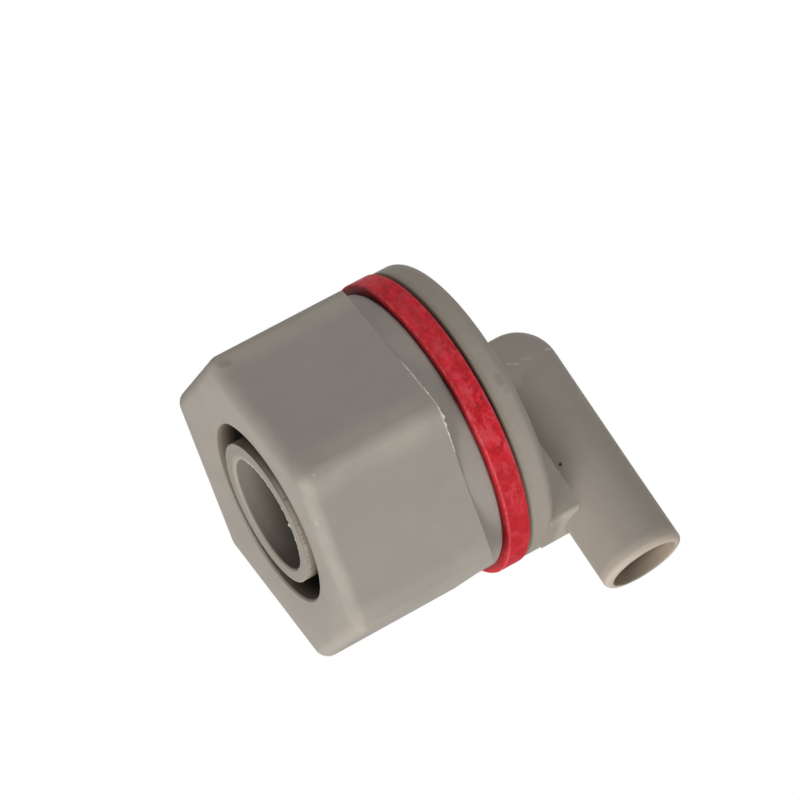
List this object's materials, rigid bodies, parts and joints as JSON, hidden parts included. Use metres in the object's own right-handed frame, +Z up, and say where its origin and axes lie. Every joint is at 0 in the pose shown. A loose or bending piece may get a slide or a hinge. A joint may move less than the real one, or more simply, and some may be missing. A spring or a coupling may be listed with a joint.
{
  "type": "bulkhead elbow fitting",
  "caption": "Plastic bulkhead elbow: hexagon nut with a round collar, rubber sealing washer, and a flanged elbow whose hose spigot points down.",
  "frame": {"origin": "on the main axis, where the container's wall sits between the nut's collar and the washer", "axes": "+X along the main axis from the nut's open end to the elbow, +Z up, the hose spigot points along -Z"},
  "size_m": [0.0464, 0.0454, 0.0539],
  "materials": {
    "grey_plastic": "satin moulded plastic",
    "red_rubber": "mottled matte rubber"
  },
  "bodies": {
    "elbow": {"elbow_body": "grey_plastic"},
    "washer": {"sealing_washer": "red_rubber"},
    "nut": {"hex_nut": "grey_plastic"}
  },
  "joints": [
    {"name": "nut_turn", "type": "hinge", "parent": "elbow", "child": "washer", "pos_m": [0, 0, 0], "axis": [-1, 0, 0], "range_deg": [0, 2340]},
    {"name": "nut_travel", "type": "slide", "parent": "washer", "child": "nut", "axis": [-1, 0, 0], "range_m": [0, 0.0118]}
  ],
  "couplings": [
    {"joint": "nut_travel", "follows": "nut_turn", "m_per_rad": 0.00028875}
  ]
}
